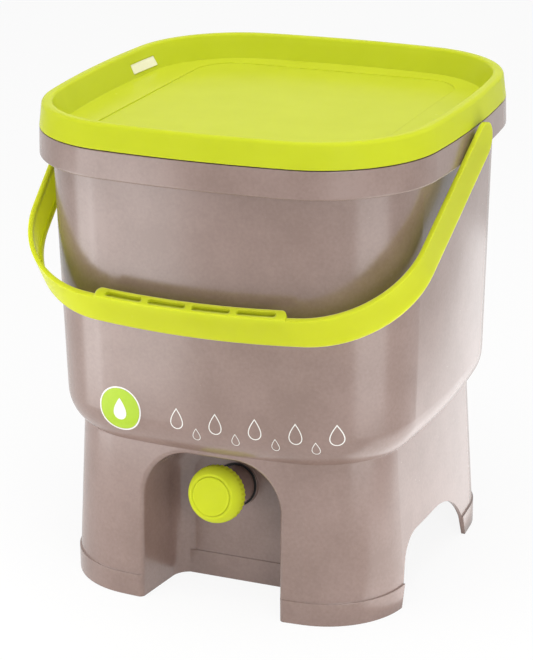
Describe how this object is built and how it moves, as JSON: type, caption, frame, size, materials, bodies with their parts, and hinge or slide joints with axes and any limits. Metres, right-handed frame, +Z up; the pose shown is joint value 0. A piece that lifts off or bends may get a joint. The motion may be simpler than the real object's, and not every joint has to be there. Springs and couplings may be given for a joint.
{
  "type": "kitchen compost bin",
  "caption": "Rounded square kitchen compost bin with a press-on tray lid, swinging strap handle, lift-out strainer over a liquid sump, and a turning drain tap in a front niche.",
  "frame": {"origin": "on the floor under the middle of the whole bin with its handle hanging at the front", "axes": "+Z up, -Y to the front where the tap is, +X to the bin's left as it faces the viewer's right"},
  "size_m": [0.3222, 0.3248, 0.364],
  "materials": {
    "tub_taupe": "satin taupe polypropylene",
    "lid_lime": "glossy lime polypropylene",
    "handle_lime": "glossy lime polypropylene",
    "knob_lime": "satin lime polypropylene",
    "tap_taupe": "satin taupe polypropylene",
    "strainer_taupe": "plain moulded plate",
    "seal_grey": "soft seal",
    "gasket_black": "matt black rubber",
    "plug_white": "plain acetal",
    "screw_steel": "bright zinc"
  },
  "bodies": {
    "tub": {"bin_body": "tub_taupe", "tap_gasket": "gasket_black", "tap_body": "tap_taupe", "tap_inner_washer": "gasket_black", "tap_lock_nut": "tap_taupe"},
    "lid": {"lid": "lid_lime", "lid_seal": "seal_grey"},
    "strainer": {"strainer": "strainer_taupe"},
    "handle": {"carrying_handle": "handle_lime"},
    "tap_turner": {"tap_plug": "plug_white", "tap_plug_o_rings": "gasket_black", "tap_knob": "knob_lime", "tap_knob_cap": "knob_lime", "knob_screw": "screw_steel"}
  },
  "joints": [
    {"name": "handle_swing", "type": "hinge", "parent": "tub", "child": "handle", "pos_m": [0, 0.0045, 0.3348], "axis": [-1, 0, 0], "range_deg": [0, 245]},
    {"name": "lid_lift", "type": "slide", "parent": "tub", "child": "lid", "axis": [0, 0, 1], "range_m": [0, 0.12]},
    {"name": "strainer_lift", "type": "slide", "parent": "tub", "child": "strainer", "axis": [0, 0, 1], "range_m": [0, 0.15]},
    {"name": "tap_turn", "type": "hinge", "parent": "tub", "child": "tap_turner", "pos_m": [0, -0.0817, 0.0793], "axis": [0, -0.9833, 0.1822], "range_deg": [0, 90]}
  ]
}
